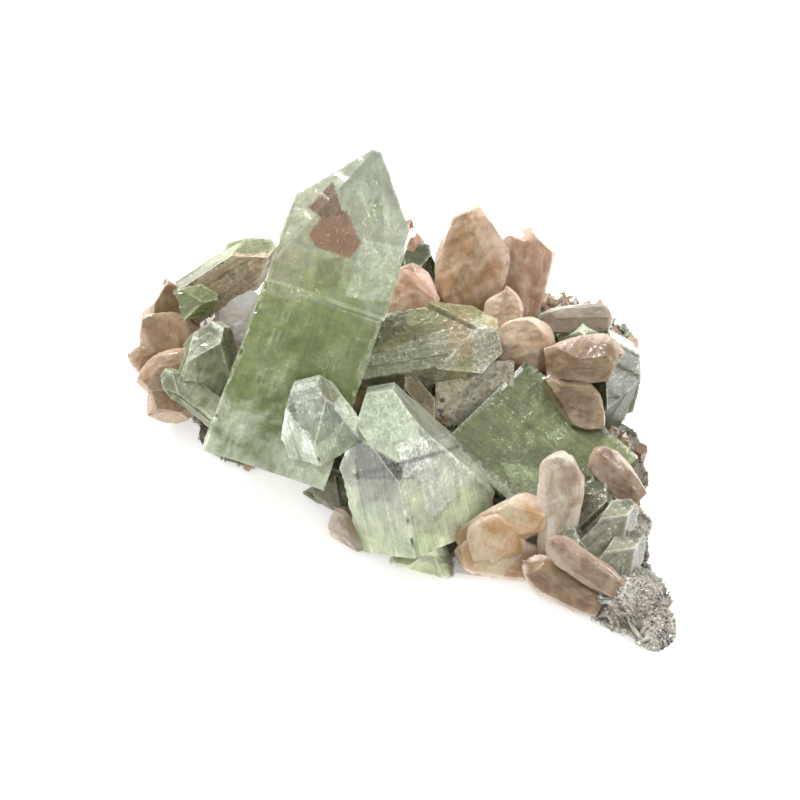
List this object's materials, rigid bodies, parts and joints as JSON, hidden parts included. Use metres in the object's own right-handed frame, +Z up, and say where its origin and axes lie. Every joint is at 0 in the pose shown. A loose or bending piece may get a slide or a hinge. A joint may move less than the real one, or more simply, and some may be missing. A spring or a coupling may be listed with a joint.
{
  "type": "apophyllite cluster",
  "caption": "Mineral cluster: a tall clear-tipped green apophyllite crystal among smaller ones and peach stilbite blades on a drusy rock matrix, resting on a flat underside.",
  "frame": {"origin": "bottom centre of the overall box, on the plane of the flat underside", "axes": "+Z up; +X to the viewer's right when the tall crystal stands on the left; -Y to the front"},
  "size_m": [0.072, 0.062, 0.0421],
  "materials": {
    "apophyllite_clear": "clear to cloudy green crystal, glassy faces",
    "apophyllite_green": "deeper green crystal, glassy faces",
    "stilbite": "peach, pearly, finely striated",
    "matrix_rock": "pale drusy rock crust with tiny crystals"
  },
  "bodies": {
    "root": {"matrix": "matrix_rock", "upright_stilbite": "stilbite", "edge_stilbite": "stilbite", "tall_apophyllite": "apophyllite_clear", "front_apophyllite": "apophyllite_clear", "broad_apophyllite": "apophyllite_clear", "small_clear_apophyllite": "apophyllite_clear", "centre_apophyllite": "apophyllite_clear", "pale_apophyllite": "apophyllite_clear", "rear_left_apophyllite": "apophyllite_clear", "left_upper_apophyllite": "apophyllite_clear", "left_lower_apophyllite": "apophyllite_clear", "green_chip_apophyllite": "apophyllite_green", "rear_dark_apophyllite": "apophyllite_green", "right_edge_apophyllite": "apophyllite_clear", "lower_right_apophyllite": "apophyllite_clear", "low_green_apophyllite": "apophyllite_green", "under_front_apophyllite": "apophyllite_clear", "small_green_apophyllite": "apophyllite_clear", "olive_apophyllite": "apophyllite_green", "brown_middle_apophyllite": "apophyllite_clear", "edge_clear_apophyllite": "apophyllite_clear", "rear_tall_stilbite": "stilbite", "rear_right_stilbite": "stilbite", "rear_middle_stilbite": "stilbite", "behind_tall_stilbite": "stilbite", "upper_middle_stilbite": "stilbite", "small_middle_stilbite": "stilbite", "right_round_stilbite": "stilbite", "right_low_stilbite": "stilbite", "right_blade_stilbite": "stilbite", "front_sheaf_stilbite": "stilbite", "long_blade_stilbite": "stilbite", "low_front_stilbite": "stilbite", "under_left_stilbite": "stilbite", "shaded_middle_stilbite": "stilbite", "rear_low_stilbite": "stilbite", "white_left_stilbite": "stilbite", "left_fan_stilbite": "stilbite"}
  },
  "joints": []
}
